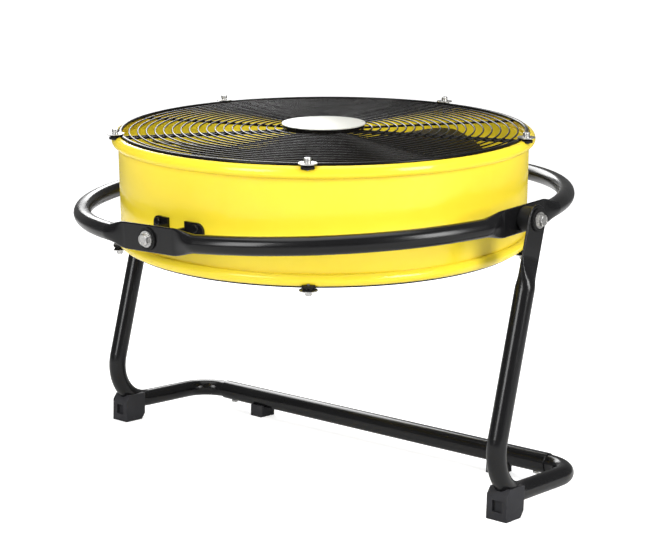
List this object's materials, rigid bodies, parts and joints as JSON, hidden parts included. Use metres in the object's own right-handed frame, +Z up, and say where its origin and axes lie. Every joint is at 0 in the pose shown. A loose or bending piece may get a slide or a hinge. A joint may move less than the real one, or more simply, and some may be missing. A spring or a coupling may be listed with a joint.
{
  "type": "drum fan",
  "caption": "Round drum fan held level in a tilting tube ring, with wire guards on both faces, on two bent tube legs joined by a rear bar with rubber feet.",
  "frame": {"origin": "on the floor under the middle of the object", "axes": "+X along the leg pivots to the right seen from the front, +Y to the rear where the cross bar is, +Z up"},
  "size_m": [0.691, 0.6424, 0.4815],
  "materials": {
    "black_tube": "semi-gloss black powder coat",
    "rubber_foot": "matt dark rubber",
    "zinc": "bright zinc plating",
    "black_nylon": "matt black nylon",
    "yellow_paint": "gloss yellow powder coat",
    "black_wire": "satin black coating",
    "cream_paint": "satin off-white",
    "seal_rubber": "matt black rubber",
    "cast_aluminium": "cast, satin",
    "laminations": "dark oxidised edges",
    "copper": "varnished copper wire",
    "steel": "ground steel",
    "blade_coat": "semi-gloss black coating on steel sheet",
    "motor_enamel": "black enamel on cast bells",
    "black_plastic": "fine-grained black plastic",
    "capacitor_case": "pale moulded case",
    "lead_sheath": "black sheath"
  },
  "bodies": {
    "base": {"cross_bar": "black_tube", "cross_bar_screws": "zinc", "foot_screws": "zinc", "front_foot_left": "rubber_foot", "front_foot_right": "rubber_foot", "left_leg": "black_tube", "leg_pivot_bolts": "zinc", "leg_pivot_collars": "black_nylon", "leg_pivot_nuts": "zinc", "leg_pivot_spacers": "black_nylon", "leg_pivot_washers": "zinc", "rear_foot_left": "rubber_foot", "rear_foot_right": "rubber_foot", "right_leg": "black_tube"},
    "ring": {"drum_pivot_bolts": "zinc", "drum_pivot_collars": "black_nylon", "drum_pivot_nuts": "zinc", "drum_pivot_spacers": "black_nylon", "drum_pivot_washers": "zinc", "tilt_ring": "black_tube"},
    "rotor": {"blade_rivets": "zinc", "fan_blade_1": "blade_coat", "fan_blade_2": "blade_coat", "fan_blade_3": "blade_coat", "fan_hub": "cast_aluminium", "fan_spider": "blade_coat", "hub_set_screw": "zinc", "motor_rotor": "laminations", "motor_shaft": "steel"},
    "knob": {"speed_knob": "black_plastic"},
    "drum": {"bracket_screws": "black_tube", "cable_gland": "black_plastic", "control_box": "black_plastic", "control_box_screws": "zinc", "drum_shell": "yellow_paint", "front_bracket": "black_tube", "front_guard": "black_wire", "front_hub_backing": "black_wire", "front_hub_plate": "cream_paint", "guard_grommets": "seal_rubber", "guard_screws": "zinc", "guard_washers": "zinc", "hub_nuts": "zinc", "lead_clips": "black_plastic", "lead_grommet": "seal_rubber", "motor_bearings": "steel", "motor_front_bell": "motor_enamel", "motor_lead": "lead_sheath", "motor_mount_bars": "black_wire", "motor_mount_bolts": "zinc", "motor_rear_bell": "motor_enamel", "motor_stator": "laminations", "motor_stay_bolts": "zinc", "motor_windings": "copper", "rear_bracket": "black_tube", "rear_guard": "black_wire", "rear_hub_backing": "black_wire", "rear_hub_plate": "cream_paint", "run_capacitor": "capacitor_case", "speed_switch": "black_plastic"}
  },
  "joints": [
    {"name": "ring_tilt", "type": "hinge", "parent": "base", "child": "ring", "pos_m": [0, 0, 0.353], "axis": [1, 0, 0], "range_deg": [-66, 94]},
    {"name": "drum_swivel", "type": "hinge", "parent": "ring", "child": "drum", "pos_m": [0, 0, 0.353], "axis": [0, 0.9948, 0.1021], "range_deg": [-93, 87]},
    {"name": "fan_spin", "type": "hinge", "parent": "drum", "child": "rotor", "pos_m": [0.00101, -0.00207, 0.37317], "axis": [0.0497, -0.102, 0.9935], "continuous": true},
    {"name": "speed_knob_turn", "type": "hinge", "parent": "drum", "child": "knob", "pos_m": [-0.20022, 0.19529, 0.41255], "axis": [-0.6683, 0.7359, 0.109], "range_deg": [0, 135]}
  ]
}
